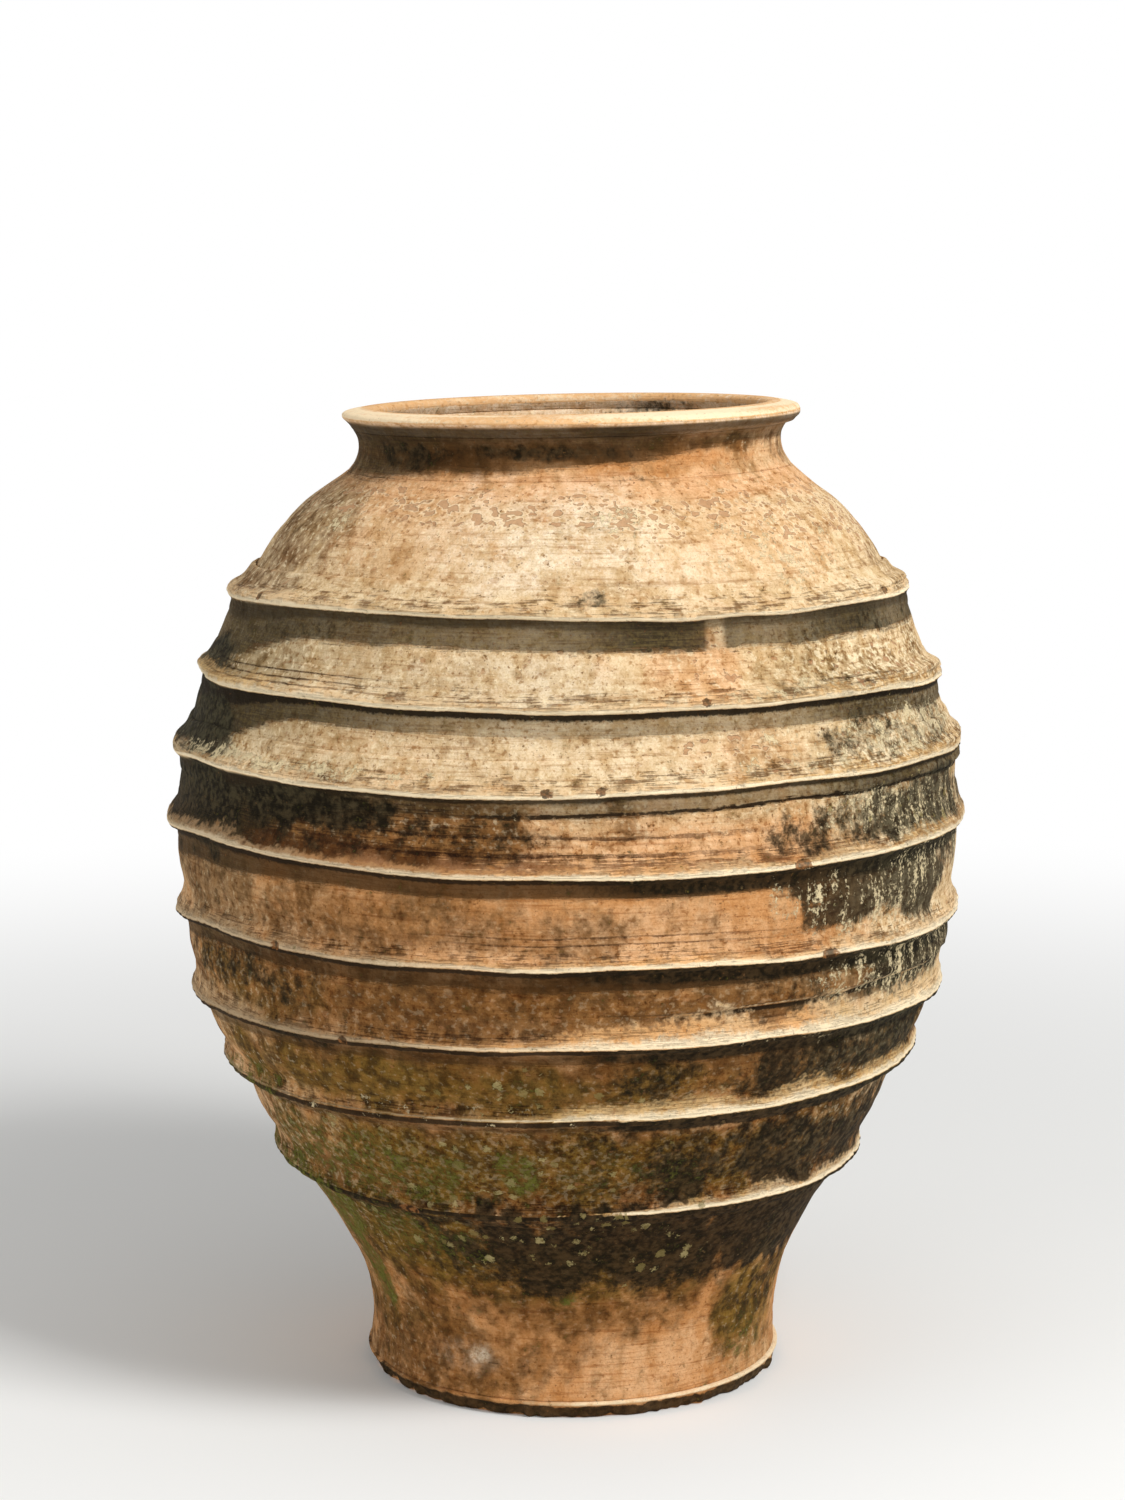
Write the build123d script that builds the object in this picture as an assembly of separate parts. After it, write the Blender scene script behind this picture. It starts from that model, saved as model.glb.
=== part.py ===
from build123d import *
from math import hypot, radians, tan
import os

# A large earthenware olive jar: a free-standing storage jar with a narrow foot, a wide belly, eight raised
# bands, a sloping shoulder, a short waisted neck and an everted lip. It is built as its potter built it.
# A slab is cut for the base, the foot is raised on it, and ring after ring of clay is luted on with a
# bevelled seam. Over each seam of the body lies an applied band that is drawn out into a drooping ledge.
# The origin is at the centre of the underside, +Z is up, and every ring is turned about Z.

# Overall sizes, in millimetres
JAR_HEIGHT = 950.0
BELLY_RADIUS = 382.5
FOOT_RADIUS = 200.0
NECK_RADIUS = 203.0

# Clay thicknesses
BODY_WALL = 20.0
NECK_WALL = 18.0
BASE_THICKNESS = 17.0

# The inner face of the wall is set this much higher than the outer face, so that the seams between the
# rings rise towards the inside and each ring sits in the one below
SEAM_RISE = 6.0

# Foot: the edge of the base slab stands out of the waist and is rubbed round
TOE_PROJECTION = 5.0
TOE_ROUND = 5.0
WAIST_HEIGHT = 54.0
FOOT_FLARE = 1.5

# Neck: how far it flares below and above its waist, and where the waist lies in its height
NECK_HEIGHT = 42.0
NECK_FLARE_BELOW = 9.0
NECK_FLARE_ABOVE = 5.0
NECK_WAIST_SHARE = 0.57

# Lip: it overhangs the neck, and its top falls from a crest above the wall to a blunt nose
LIP_HEIGHT = 24.0
LIP_OVERHANG = 16.5
LIP_CREST_SETBACK = 11.5
LIP_FALL = 4.5
LIP_NOSE = 4.5
MOUTH_ROUND = 6.0

# Applied bands: a flare above, a rolled ledge with a sharp lower edge, and a flat strip below it
LEDGE = 9.5
LEDGE_ROLL = 5.0
LEDGE_DROOP = 6.0
LEDGE_UNDERCUT = 9.0
BAND_ABOVE = 22.0
BAND_BELOW = 18.0
BAND_STRIP = 2.0

# A band's blank goes this deep into the wall, and is then cut to seat on it
BAND_SINK = 8.0

# Where the bands lie, from the foot up: their height as a share of the jar's height, and the radius of the
# wall behind them as a share of the belly's
BAND_HEIGHT_SHARES = (0.238, 0.338, 0.412, 0.496, 0.585, 0.658, 0.726, 0.8105)
BAND_RADIUS_SHARES = (0.728, 0.852, 0.935, 0.972, 0.997, 0.973, 0.918, 0.833)

# The bands were laid by eye: degrees by which each one rises towards +X and towards +Y
BAND_LEANS = ((0.0, 0.75), (0.45, 0.5), (-0.1, -0.35), (-0.35, 0.0), (0.0, 0.0), (-0.5, -0.15),
              (-1.0, -0.9), (-0.5, -0.4))

# Points of the outline between the waist and the lowest band, and between the neck and the highest band:
# shares of the way out, and of the way up
FOOT_SHARES = ((0.11, 0.28), (0.506, 0.669))
SHOULDER_SHARES = ((0.726, 0.39), (0.42, 0.724), (0.15, 0.908))

# A ledge's crest and lower edge, as shares of how far the ledge stands out
LEDGE_TOP_SHARE = 0.75
LEDGE_EDGE_SHARE = 0.85

# The lip's underside ends this share of the nose's size short of the full radius
NOSE_LOW_SHARE = 0.8


def way(start, end, shares):
    """Points at shares of the way out from the narrower end, and of the way up from the start."""
    narrow, wide = min(start[0], end[0]), max(start[0], end[0])
    return [(narrow + out * (wide - narrow), start[1] + up * (end[1] - start[1])) for out, up in shares]


def along(lower, upper):
    """The direction up an outline, and its outward normal."""
    run, rise = upper[0] - lower[0], upper[1] - lower[1]
    length = hypot(run, rise)
    return (run / length, rise / length), (rise / length, -run / length)


def turned(*edges):
    """A solid turned about the jar's axis from a closed outline of edges."""
    return revolve(Plane.XZ * make_face(Wire(edges)), Axis.Z)


def ring(outer, inner):
    """A ring of the wall between two outlines that run upwards, closed by a seam below and a seam above."""
    outer_side = Line(*outer) if len(outer) == 2 else Spline(*outer)
    inner_side = Line(*inner) if len(inner) == 2 else Spline(*inner)
    return turned(outer_side, Line(outer[-1], inner[-1]), inner_side, Line(inner[0], outer[0]))


# The outer outline, from the top of the base slab to the seam below the neck
seams = [(BELLY_RADIUS * out, JAR_HEIGHT * up) for out, up in zip(BAND_RADIUS_SHARES, BAND_HEIGHT_SHARES)]
foot_edge = (FOOT_RADIUS + FOOT_FLARE, BASE_THICKNESS)
waist = (FOOT_RADIUS, WAIST_HEIGHT)
lip_seam_height = JAR_HEIGHT - LIP_HEIGHT
neck_seam = (NECK_RADIUS + NECK_FLARE_BELOW, lip_seam_height - NECK_HEIGHT)
neck_waist = (NECK_RADIUS, neck_seam[1] + NECK_HEIGHT * NECK_WAIST_SHARE)
lip_seam = (NECK_RADIUS + NECK_FLARE_ABOVE, lip_seam_height)
foot_line = [foot_edge, waist, *way(waist, seams[0], FOOT_SHARES)]
shoulder_line = way(seams[-1], neck_seam, SHOULDER_SHARES)
outline = foot_line + seams + shoulder_line + [neck_seam]

# The inner outline lies a wall's thickness behind it
inside = [(foot_edge[0] - BODY_WALL, BASE_THICKNESS)]
for below, point, above in zip(outline, outline[1:], outline[2:] + [neck_waist]):
    normal = along(below, above)[1]
    inside.append((point[0] - BODY_WALL * normal[0], point[1] - BODY_WALL * normal[1] + SEAM_RISE))

# Ring by ring, from the foot up
members = {}
first, last = len(foot_line), len(foot_line) + len(seams) - 1
toe = Cylinder(FOOT_RADIUS + TOE_PROJECTION, BASE_THICKNESS, align=(Align.CENTER, Align.CENTER, Align.MIN))
members["base_slab"] = fillet(toe.edges().filter_by(GeomType.CIRCLE), TOE_ROUND)
members["foot_wall"] = ring(outline[: first + 1], inside[: first + 1])
for number, at in enumerate(range(first, last), start=1):
    members[f"body_ring_{number}"] = ring(outline[at : at + 2], inside[at : at + 2])
members["shoulder"] = ring(outline[last:], inside[last:])

# The waisted neck
inner_neck_waist = (NECK_RADIUS - NECK_WALL, neck_waist[1])
inner_lip_seam = (lip_seam[0] - NECK_WALL, lip_seam[1] + SEAM_RISE)
members["neck"] = turned(
    ThreePointArc(neck_seam, neck_waist, lip_seam),
    Line(lip_seam, inner_lip_seam),
    ThreePointArc(inner_lip_seam, inner_neck_waist, inside[-1]),
    Line(inside[-1], neck_seam),
)

# The everted lip
lip_radius = NECK_RADIUS + LIP_OVERHANG
crest = (NECK_RADIUS - LIP_CREST_SETBACK, JAR_HEIGHT)
mouth_edge = (crest[0] - MOUTH_ROUND, JAR_HEIGHT - MOUTH_ROUND)
nose_top = (lip_radius - LIP_NOSE, JAR_HEIGHT - LIP_FALL)
nose = (lip_radius, nose_top[1] - LIP_NOSE)
nose_low = (lip_radius - LIP_NOSE * NOSE_LOW_SHARE, nose[1] - LIP_NOSE)
members["lip"] = turned(
    Line(lip_seam, nose_low),
    ThreePointArc(nose_low, nose, nose_top),
    TangentArc(crest, nose_top, tangent=(1, 0)),
    TangentArc(crest, mouth_edge, tangent=(-1, 0)),
    Line(mouth_edge, inner_lip_seam),
    Line(inner_lip_seam, lip_seam),
)

# The body's outer skin as a full core, which the bands are cut to
core_foot, core_top = (0, BASE_THICKNESS), (0, neck_seam[1])
core = turned(
    Spline(*outline[: first + 1]),
    *[Line(a, b) for a, b in zip(outline[first:last], outline[first + 1 : last + 1])],
    Spline(*outline[last:]),
    Line(neck_seam, core_top),
    Line(core_top, core_foot),
    Line(core_foot, foot_edge),
)


def band(at, lean_x, lean_y):
    """An applied band over a seam, seated on the wall, rising by its leans in degrees towards +X and +Y."""
    seam = outline[at]
    up, out = along(outline[at - 1], outline[at + 1])

    def spot(stand_out, rise):
        return stand_out * out[0] + rise * up[0] + seam[0], stand_out * out[1] + rise * up[1]

    top_in = spot(-BAND_SINK, BAND_ABOVE + BAND_SINK)
    roll_top = spot(LEDGE * LEDGE_TOP_SHARE, LEDGE_ROLL)
    roll_crest = spot(LEDGE, 0)
    roll_edge = spot(LEDGE * LEDGE_EDGE_SHARE, -LEDGE_DROOP)
    strip_top = spot(BAND_STRIP, -LEDGE_UNDERCUT)
    strip_low = spot(BAND_STRIP, -BAND_BELOW)
    low_in = spot(-BAND_SINK, -BAND_BELOW)
    blank = turned(
        Line(top_in, roll_top),
        ThreePointArc(roll_top, roll_crest, roll_edge),
        Line(roll_edge, strip_top),
        Line(strip_top, strip_low),
        Line(strip_low, low_in),
        Line(low_in, top_in),
    )

    # A leaning ring follows the sloping wall when its centre moves towards the wider side
    slope = up[0] / up[1]
    shift_x = slope * seam[0] * tan(radians(lean_x))
    shift_y = slope * seam[0] * tan(radians(lean_y))
    return Pos(shift_x, shift_y, seam[1]) * Rot(lean_y, -lean_x, 0) * blank - core


for number, (lean_x, lean_y) in enumerate(BAND_LEANS, start=1):
    members[f"band_{number}"] = band(first + number - 1, lean_x, lean_y)

os.makedirs("parts", exist_ok=True)
for name, shape in members.items():
    export_step(shape, f"parts/{name}.step")
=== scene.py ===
import math

import bpy
import numpy as np
from mathutils import Matrix, Vector


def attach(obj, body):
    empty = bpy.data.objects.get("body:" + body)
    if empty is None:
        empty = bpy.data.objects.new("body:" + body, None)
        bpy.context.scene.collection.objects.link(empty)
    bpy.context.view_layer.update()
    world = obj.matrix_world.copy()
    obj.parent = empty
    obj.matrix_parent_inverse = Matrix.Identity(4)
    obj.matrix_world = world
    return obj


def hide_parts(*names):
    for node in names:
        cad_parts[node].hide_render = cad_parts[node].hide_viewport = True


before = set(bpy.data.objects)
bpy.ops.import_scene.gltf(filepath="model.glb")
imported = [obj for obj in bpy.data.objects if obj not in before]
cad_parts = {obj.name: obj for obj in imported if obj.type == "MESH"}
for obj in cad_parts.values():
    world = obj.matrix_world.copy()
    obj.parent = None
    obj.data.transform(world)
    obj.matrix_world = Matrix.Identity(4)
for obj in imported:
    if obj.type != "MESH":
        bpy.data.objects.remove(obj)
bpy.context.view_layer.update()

# A big old olive jar, coil-built and thrown in coarse red earthenware. Rings of clay are luted one on
# another, and a drooping band covers each seam of the body. It has stood outdoors for decades: the ledges
# are rubbed pale, the hollows under them are dark with dirt and painted shadow, and moss and lichen grow on
# the damp lower half.
# Sizes are in millimetres. An azimuth of 0 is the front, and 90 is the right-hand side.

MM = 0.001
WALL = 20.0
USUAL_RADIUS = 300        # by which waves are fitted to go round the jar a whole number of times
WIDEST = 390.6            # no piece reaches further from the axis than the bands of the CAD model
TURN_STEPS = 360          # faces round the jar, before smoothing halves them
WELD = 0.01               # vertices nearer than this are merged
WALL_STEP, INNER_STEP = 5.4, 20         # spacing of the points on a ring's outer and inner face
BAND_STEP, LIP_STEP, FINE_STEP = 2.1, 2.8, 2   # on a band, on the lip, and where the wall is only measured
CORNER = 1.2              # how far from a seam's corner the points stand that keep it crisp
SEAM_SLOPE = 6            # how much higher each seam lies on the inner face than on the outer one
BANDS, RINGS = range(1, 9), range(1, 8)
LIP = 9                   # the lip's number where it counts as one more ledge over the eight bands
LIP_EDGE, LIP_TILT = 937.5, 3           # height of the lip's edge, and how much higher it is on the right
EDGE_DROP = 1.5           # how far the edge of a ledge hangs below the band's line
NO_LEDGE = 900            # the distance to a ledge where there is none
FOLD_HEIGHT, FOLD_REACH, FOLD_STRIP = 430, 36, 13      # its height, how far it counts, and its dark strip
PLAIN_EDGE = 3.2          # how far up from its edge a ledge is rubbed where RUBBED_AND_LIT says nothing

# The outer face of the wall: radius and height at the foot's edge, waist and flare, at the eight seams
# under the bands, and up the shoulder to the neck
FOOT_LINE = [(201.5, 17), (200, 34), (199.8, 54), (203, 80), (209.5, 105), (219, 127), (232, 152),
             (245, 176), (262, 201)]
SEAM_LINE = [(278.5, 226), (325.9, 321), (357.6, 391.5), (371.8, 471), (377.6, 556), (372.2, 625),
             (351.1, 690), (318.6, 770)]
SHOULDER_LINE = [(303.5, 791), (290, 813), (274.5, 835), (257, 852.5), (237, 867.5), (224, 876.5)]
NECK_SEAM = (213, 885)
NECK_LINE = [(206.5, 893.5), (203.3, 902), (202.6, 910), (204.2, 918.5)]
LIP_SEAM = (208, 926)
OUTLINE = FOOT_LINE + SEAM_LINE + SHOULDER_LINE + [NECK_SEAM] + NECK_LINE + [LIP_SEAM]

# How each band was laid, from the foot up: by how much it rises towards the right and towards the back, how
# far it sways twice round the jar and in which direction, and the same for three times round
BAND_LAY = [
    (0, 4, 3, 20, 3, 50), (4.6, 0.5, 2, 0, 3, 30), (-1, -2, 2, 107, 1, 35), (-2, 0, 4, 47, 4, 53),
    (0, 0, 3, 41, 2, 71), (-0.4, -1, 1, 148, 2, 69), (-4, -6, 5, 109, 4, 96), (-1.5, -2, 3, 107, 3, 105),
]

# How much higher than its seam each band lies on the whole, and how much fuller the ring above it is at its
# middle than a straight cone
BAND_LIFT = [4, 7.5, 6, 4, 3, 4.2, 2.6, 3.5]
RING_BULGE = [4, 7, 4, 4, 1, 0, 0]

# Where a band sags or was pushed up by hand: band, azimuth, half its width in degrees, mm
SAGS = [(3, -88, 30, -9), (4, -90, 32, -15), (5, -90, 30, -10), (6, -90, 30, -9), (7, -90, 28, 7)]

# Where a band is a fuller roll than elsewhere: band, azimuth, half its width in degrees, how much fuller in
# mm, how far up from the edge, over what height, and by how much its edge stands back there
ROLLS = [
    (8, 86, 46, 5, 10, 6, 2.5), (7, 86, 46, 6.5, 11, 7, 2.5), (6, 88, 34, 3.5, 6, 5, 2),
    (5, -88, 30, 4, 8, 8, 0), (6, -88, 26, 2, 7, 5, 0), (3, 150, 40, 4, 9, 7, 1), (7, -150, 40, 4, 9, 7, 1)]

# Under each band, and under the lip: how deep the dark strip in its lee is in mm, how dense that is, and
# how black the crevice. The strip is dust with painted shadow, the crevice dirt with painted shade, and
# under the lip the strip is the lip's painted shadow on the neck
LEE = [
    (12, 0.5, 0.95), (15, 0.6, 0.9), (18, 0.75, 0.9), (20, 0.9, 0.9), (20, 0.95, 0.9), (18, 0.62, 0.85),
    (22, 0.55, 1.0), (28, 0.95, 0.6), (36, 0.92, 0.5)]

# Where the painted shadow in the lee of a band or of the lip reaches further down, or less far, growing
# longer towards the left: band, azimuth, half its width in degrees, and how many mm
PAINTED_SHADOW_REACH = [
    (9, -30, 40, 6), (9, -70, 36, 14), (9, 60, 50, -14), (8, -80, 36, 26), (7, -84, 42, 44),
    (6, -76, 50, 60), (5, -70, 40, 8), (4, 8, 30, 3)]

# Pairs of fine grooves that a stick left above a band: band, how far above its edge in mm, how far apart in
# mm, azimuth, half its width in degrees, depth
GROOVES = [
    (4, 20, 6.5, 6, 34, 0.6), (5, 18, 15, -4, 52, 0.65), (7, 16, 4, -50, 30, 0.9), (7, 9, 5, 50, 20, 0.5),
    (2, 24, 7, -150, 40, 0.7), (6, 16, 6, 150, 60, 0.7)]

# Ledges that are rubbed more broadly or hardly at all; the broad pale tops on the right are partly painted
# sunlight: band, azimuth, half its width in degrees, and how far up from the edge the pale part reaches in
# mm
RUBBED_AND_LIT = [
    (1, -30, 46, 0), (1, 54, 38, 13), (2, -52, 34, 3), (2, 38, 50, 19), (3, -30, 24, 5), (3, -68, 30, 13),
    (3, 50, 62, 31), (4, -64, 30, 14), (4, 6, 46, 9), (4, 64, 26, 18), (5, -68, 28, 15), (5, 0, 48, 11),
    (5, 62, 26, 15), (6, -52, 22, 10), (6, 0, 40, 8), (6, 60, 24, 13), (7, 62, 26, 15), (7, 0, 42, 9),
    (7, -60, 30, 17), (8, 0, 400, 6), (8, -66, 26, 13), (8, 70, 24, 10)]

# Knocks on the ledges: band, azimuth, half its width in degrees, depth in mm
CHIPS = [
    (4, 38, 1.9, 2.6), (5, 32.5, 1.8, 2.2), (1, -31, 2.6, 2.6), (6, -2.6, 1.0, 3.0), (6, 4.5, 0.8, 2.0),
    (4, -43.5, 1.0, 2.6), (7, 20, 0.9, 1.4), (3, -33, 0.9, 1.6), (8, -62, 1.2, 1.8), (8, 66, 1.4, 2.0),
    (7, 118, 3.0, 3.2), (5, 164, 2.4, 3.0), (3, 137, 2.8, 2.6), (6, -128, 3.2, 3.4), (8, -146, 2.0, 2.4),
    (2, -104, 2.6, 2.6), (1, 96, 2.2, 2.4), (4, -160, 1.6, 2.4)]

# Section of a band: distance out from the wall, and distance up from the seam
BAND_SECTION = [(-4, 30), (-0.6, 27.5), (1.2, 20), (3.2, 13), (6.0, 7.2), (8.8, 3.6), (10.6, 0.4),
                (10.8, -2.8), (9.0, -5.8), (5.4, -7.2), (2.6, -9.8), (1.5, -15), (-0.6, -21), (-4, -24)]

# How pale a rubbed edge is on the left, duller on the lower bands as painted shade: band and share
LEFT_EDGE_LIGHT = [(1, 0.1), (2, 0.12), (3, 0.16), (4, 0.3), (5, 0.55), (6, 0.9), (8, 0.95), (LIP, 0.95)]

# How buff the clay has burnt, by height
BURNT_BUFF = [
    (0, 0.1), (110, 0.1), (230, 0.2), (390, 0.2), (470, 0.14), (560, 0.12), (575, 0.2), (600, 0.5),
    (640, 0.82), (690, 0.86), (770, 0.86), (830, 0.8), (868, 0.6), (905, 0.15), (930, 0.55), (950, 0.6)]

# How far the jar leans to the right, by height: a little left at its widest and right above that, as it was
# built up by eye
LEAN = [(0, 0), (150, 0), (250, -2), (340, -3), (590, -3.2), (700, -1.5), (770, 0), (900, 1), (950, 2)]


# ---------------------------------------------------------------- hand-made unevenness

def waves(azimuth, height, size, seed, stretch=1.0, count=28):
    """An uneven field of about unit height over the jar, with humps of the given size in mm."""
    pick = np.random.default_rng(seed)
    azimuth, height = azimuth.astype(np.float32), height.astype(np.float32)
    field = np.zeros_like(azimuth)
    for _ in range(count):
        heading = pick.uniform(0, 2 * math.pi)
        pace = 2 * math.pi / (size * pick.uniform(1.4, 3.0))
        turns = round(USUAL_RADIUS * pace * math.cos(heading) / stretch)
        rise_pace, start = pace * math.sin(heading), pick.uniform(0, 2 * math.pi)
        field += np.cos(np.float32(turns) * azimuth + np.float32(rise_pace) * height + np.float32(start))
    return field / np.float32(math.sqrt(count / 2))


def ripples(azimuth, size, seed):
    """Waves along a line round the jar, the same all the way up."""
    return waves(azimuth, azimuth * 0, size, seed)


def soft(value, low, high):
    """0 up to low, 1 from high on, and a smooth rise in between."""
    share = np.clip((value - low) / (high - low), 0, 1)
    return share * share * (3 - 2 * share)


def gone(value, low, high):
    """1 up to low, 0 from high on, and a smooth fall in between."""
    return 1 - soft(value, low, high)


def apart(azimuth, at):
    """How many degrees lie between an azimuth in radians and one in degrees."""
    return np.abs((np.degrees(azimuth) - at + 180) % 360 - 180)


def around(azimuth, at, half_turn):
    """1 at an azimuth given in degrees, falling softly to 0 at half a width from it."""
    return gone(apart(azimuth, at) / half_turn, 0.2, 1)


def drawn(points, spacing):
    """Evenly spaced points on a smooth curve through the given ones."""
    fixed = np.array(points, float)
    ends = np.vstack([2 * fixed[0] - fixed[1], fixed, 2 * fixed[-1] - fixed[-2]])
    share = np.linspace(0, 1, 24, endpoint=False)[:, None]
    curve = []
    for a, b, c, d in zip(ends, ends[1:], ends[2:], ends[3:]):
        curve.append(b + 0.5 * share * (c - a + share * (2 * a - 5 * b + 4 * c - d
                                                         + share * (3 * (b - c) + d - a))))
    curve = np.vstack(curve + [fixed[-1:]])
    run = np.concatenate([[0], np.cumsum(np.hypot(*np.diff(curve, axis=0).T))])
    stops = np.linspace(0, run[-1], max(2, round(run[-1] / spacing)) + 1)
    return [(float(np.interp(s, run, curve[:, 0])), float(np.interp(s, run, curve[:, 1]))) for s in stops]


def ring_line(number):
    """The outer line of body ring number, a little fuller at its middle than a straight cone."""
    low, high = SEAM_LINE[number - 1], SEAM_LINE[number]
    return [low, ((low[0] + high[0]) / 2 + RING_BULGE[number - 1], (low[1] + high[1]) / 2), high]


WALL_LINES = ([FOOT_LINE + SEAM_LINE[:1]] + [ring_line(n) for n in RINGS]
              + [SEAM_LINE[-1:] + SHOULDER_LINE + [NECK_SEAM], [NECK_SEAM] + NECK_LINE + [LIP_SEAM]])
FINE_LINE = np.array(sum([drawn(line, FINE_STEP) for line in WALL_LINES], []))


def wall_radius(height):
    """Radius of the wall's outer face."""
    return np.interp(height, FINE_LINE[:, 1], FINE_LINE[:, 0])


def rise(number, azimuth):
    """How far band number's crest lies above its seam at an azimuth in radians."""
    right, back, sway, sway_to, ripple, ripple_to = BAND_LAY[number - 1]
    turn = azimuth - math.pi / 2
    level = BAND_LIFT[number - 1] + right * np.sin(azimuth) - back * np.cos(azimuth)
    level = level + sway * np.cos(2 * (turn - math.radians(sway_to)))
    level = level + ripple * np.cos(3 * (turn - math.radians(ripple_to)))
    for band, at, half_turn, by in SAGS:
        if band == number:
            level = level + by * around(azimuth, at, half_turn)
    return level + 0.5 * ripples(azimuth, 60, 40 + number)


def fold_edge(azimuth):
    """Where the fold over the third body ring hangs down to, on the right of the jar."""
    return FOLD_HEIGHT - 2 + 0.06 * np.degrees(azimuth) + 1.2 * ripples(azimuth, 70, 7)


# ---------------------------------------------------------------- modelling

def turned(name, section):
    """A closed ring: its section is drawn vertex by vertex, spun about the jar's axis and smoothed."""
    bpy.ops.object.select_all(action="DESELECT")
    bpy.ops.mesh.primitive_plane_add(size=MM)
    piece = bpy.context.object
    piece.name = piece.data.name = name
    bpy.ops.object.mode_set(mode="EDIT")
    bpy.ops.mesh.merge(type="CENTER")
    bpy.ops.transform.translate(value=(section[0][0] * MM, 0, section[0][1] * MM))
    for (r0, z0), (r1, z1) in zip(section, section[1:] + section[:1]):
        bpy.ops.mesh.extrude_vertices_move(
            TRANSFORM_OT_translate={"value": ((r1 - r0) * MM, 0, (z1 - z0) * MM)})
    bpy.ops.mesh.select_all(action="SELECT")
    bpy.ops.mesh.remove_doubles(threshold=WELD * MM)
    bpy.ops.mesh.select_all(action="SELECT")
    bpy.ops.mesh.spin(steps=TURN_STEPS, angle=2 * math.pi, center=(0, 0, 0), axis=(0, 0, 1))
    bpy.ops.mesh.select_all(action="SELECT")
    bpy.ops.mesh.remove_doubles(threshold=WELD * MM)
    bpy.ops.mesh.normals_make_consistent(inside=False)
    bpy.ops.object.mode_set(mode="OBJECT")
    smooth = piece.modifiers.new("Smooth", "SUBSURF")
    smooth.levels = smooth.render_levels = 1
    bpy.ops.object.modifier_apply(modifier=smooth.name)
    bpy.ops.object.shade_smooth()
    return piece


def read(piece):
    """A piece's vertices as azimuth in radians, radius and height in mm."""
    co = np.empty(len(piece.data.vertices) * 3, np.float32)
    piece.data.vertices.foreach_get("co", co)
    x, y, z = co.reshape(-1, 3).T / MM
    return np.arctan2(x, -y), np.hypot(x, y), z


def write(piece, azimuth, radius, height):
    """Moves a piece's vertices to new places, and leans them with the jar."""
    co = np.stack([radius * np.sin(azimuth), -radius * np.cos(azimuth), height], 1)
    co[:, 0] += np.interp(height, *zip(*LEAN))
    co[:, :2] = np.clip(co[:, :2], -WIDEST, WIDEST)
    piece.data.vertices.foreach_set("co", (co * MM).ravel())
    piece.data.update()


def unevenness(azimuth, radius, height):
    """The potter's hand on every face: out of round, dents of a palm, and shallow finger hollows."""
    full = soft(radius, 60, 190) * soft(height, 8, 60)
    out = 1.1 * waves(azimuth, height, 260, 1) + 0.55 * waves(azimuth, height, 70, 2, stretch=1.8)
    out += 0.35 * waves(azimuth, height, 18, 3, stretch=5.0) + 0.16 * waves(azimuth, height, 9, 4)
    calm = 1 - 0.6 * soft(height, 860, 900)
    return out * full * calm


def finish_ring(name, piece):
    """The marks of the hand on a ring of the wall, and the weather on it."""
    azimuth, radius, height = read(piece)
    degrees, right = np.degrees(azimuth), np.sin(azimuth)
    radius = radius + unevenness(azimuth, radius, height)
    if name in ("shoulder", "neck", "lip"):
        # the neck is drawn up on the right, and the lip is a full roll there and a thin wedge on the left
        height = height + (2 + 3 * right) * soft(height, 862, 892) * gone(height, 908, 932)
        height = height + (3.2 * right - 0.5) * soft(height, 908, 932)
    if name == "lip":
        full = soft(right, -0.5, 0.9) * soft(radius, 207, 212) * gone(height, 938, 945)
        radius, height = radius + 3.4 * full, height - 2.4 * full
    if name == "body_ring_3":
        # a fold of clay hangs down over the wall on the right, above the third ledge
        edge, skin = fold_edge(azimuth), wall_radius(height)
        fold = soft(degrees, 2, 18) * gone(degrees, 74, 92)
        shape = soft(height, edge, edge + 2.5) * gone(height, edge + 5, edge + 30)
        radius = radius + 4.5 * fold * shape * soft(radius, skin - 8, skin - 3)
    if name == "base_slab":
        # the toe is knocked and worn back, most of all on the left
        low = soft(radius, 190, 200) * gone(height, 9, 15)
        knocks = 1.1 * ripples(azimuth, 26, 5) + 0.8 * ripples(azimuth, 9, 6)
        radius = radius - low * (2.2 + knocks - 1.5 * right)
        radius = radius + 0.9 * right * soft(radius, 190, 200)
    write(piece, azimuth, radius, height)
    weather(piece, name, azimuth, radius, height)


def inner(points):
    """Points of the inner face, a wall's thickness behind outer points, with the seams rising inwards."""
    result = []
    for point in points:
        at = OUTLINE.index(point)
        (r0, z0), (r1, z1) = OUTLINE[max(at - 1, 0)], OUTLINE[min(at + 1, len(OUTLINE) - 1)]
        length = math.hypot(r1 - r0, z1 - z0)
        result.append((point[0] - WALL * (z1 - z0) / length,
                       point[1] + WALL * (r1 - r0) / length + SEAM_SLOPE))
    return result


def wall_ring(name, outer, inside):
    """A ring of the wall, with tight corners at its seams."""
    def towards(a, b):
        """A point close to a, on the way to b."""
        length = math.hypot(b[0] - a[0], b[1] - a[1])
        return (a[0] + (b[0] - a[0]) * CORNER / length, a[1] + (b[1] - a[1]) * CORNER / length)
    outer, back = drawn(outer, WALL_STEP), drawn(inside, INNER_STEP)[::-1]
    low, high, high_in, low_in = outer[0], outer[-1], back[0], back[-1]
    return turned(name, (
        [low, towards(low, outer[1])] + outer[1:-1]
        + [towards(high, outer[-2]), high, towards(high, high_in), towards(high_in, high)]
        + back + [towards(low_in, low), towards(low, low_in)]))
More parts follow.
